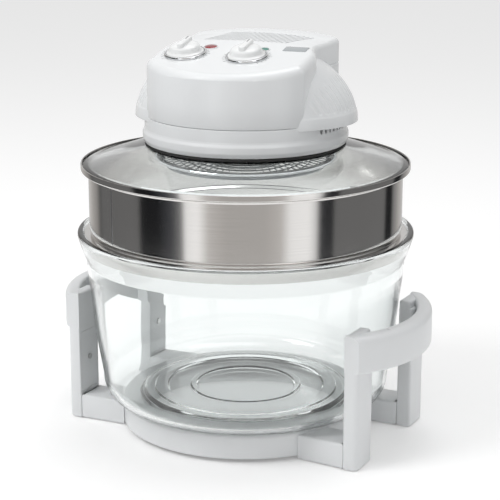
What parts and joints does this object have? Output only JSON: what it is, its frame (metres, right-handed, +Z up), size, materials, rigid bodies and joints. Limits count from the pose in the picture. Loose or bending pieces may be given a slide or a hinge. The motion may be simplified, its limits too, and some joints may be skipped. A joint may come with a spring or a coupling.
{
  "type": "halogen oven",
  "caption": "Countertop halogen oven: glass bowl in a white stand with carrying grips, steel extension ring, and a lift-off glass lid with heater head and control dials.",
  "frame": {"origin": "middle of the stand at table level, on the axis of the bowl", "axes": "+Z up, -Y towards the front of the stand, +X towards the right carrying grip"},
  "size_m": [0.38, 0.3306, 0.3904],
  "materials": {
    "white_plastic": "glossy white moulded plastic",
    "grey_plastic": "dark moulded switch body",
    "smoked_plastic": "grey inlaid window",
    "rubber": "matt black rubber",
    "clear_glass": "clear pressed glass",
    "lamp_glass": "quartz tube",
    "red_lens": "translucent red lens",
    "green_lens": "translucent green lens",
    "steel": "satin stainless steel",
    "chrome": "polished chrome",
    "brass": "sintered bush",
    "copper": "enamelled copper winding",
    "ceramic": "unglazed ceramic"
  },
  "bodies": {
    "stand": {"base_frame": "white_plastic", "left_front_foot": "rubber", "left_rear_foot": "rubber", "right_front_foot": "rubber", "right_rear_foot": "rubber", "left_handle": "white_plastic", "right_handle": "white_plastic", "left_front_post_cover": "white_plastic", "left_rear_post_cover": "white_plastic", "right_front_post_cover": "white_plastic", "right_rear_post_cover": "white_plastic", "left_front_screw": "steel", "left_rear_screw": "steel", "right_front_screw": "steel", "right_rear_screw": "steel"},
    "bowl": {"glass_bowl": "clear_glass"},
    "ring": {"extension_ring": "steel"},
    "lid": {"glass_lid": "clear_glass", "lid_seal": "rubber", "collar": "white_plastic", "heat_shield": "steel", "shield_screw_1": "steel", "shield_screw_2": "steel", "shield_screw_3": "steel", "lamp_guard": "steel", "guard_ring": "chrome", "halogen_lamp": "lamp_glass", "left_lamp_holder": "ceramic", "right_lamp_holder": "ceramic", "motor_stator": "steel", "motor_coil": "copper", "motor_bracket": "steel", "bearing_plate": "steel", "lower_bush": "brass", "upper_bush": "brass", "head_shell": "white_plastic", "left_ear": "white_plastic", "right_ear": "white_plastic", "timer_bezel": "chrome", "timer_body": "grey_plastic", "thermostat_bezel": "chrome", "thermostat_body": "grey_plastic", "red_lens": "red_lens", "green_lens": "green_lens", "display_window": "smoked_plastic", "cord_inlet": "rubber", "terminal_block": "ceramic"},
    "fan": {"hot_fan": "steel", "cooling_fan": "steel", "motor_shaft": "steel", "motor_rotor": "steel"},
    "timer": {"timer_knob": "white_plastic", "timer_spindle": "steel"},
    "thermostat": {"thermostat_knob": "white_plastic", "thermostat_spindle": "steel"}
  },
  "joints": [
    {"name": "bowl_lift", "type": "slide", "parent": "stand", "child": "bowl", "axis": [0, 0, 1], "range_m": [0, 0.11]},
    {"name": "ring_lift", "type": "slide", "parent": "bowl", "child": "ring", "axis": [0, 0, 1], "range_m": [0, 0.06]},
    {"name": "lid_lift", "type": "slide", "parent": "ring", "child": "lid", "axis": [0, 0, 1], "range_m": [0, 0.1]},
    {"name": "fan_spin", "type": "hinge", "parent": "lid", "child": "fan", "pos_m": [0, 0, 0.3], "axis": [0, 0, 1], "continuous": true},
    {"name": "timer_turn", "type": "hinge", "parent": "lid", "child": "timer", "pos_m": [-0.04054, -0.04552, 0.3742], "axis": [0.0237, -0.1851, 0.9824], "range_deg": [-300, 0]},
    {"name": "thermostat_turn", "type": "hinge", "parent": "lid", "child": "thermostat", "pos_m": [0.02095, -0.03764, 0.3742], "axis": [0.0237, -0.1851, 0.9824], "range_deg": [-270, 0]}
  ]
}
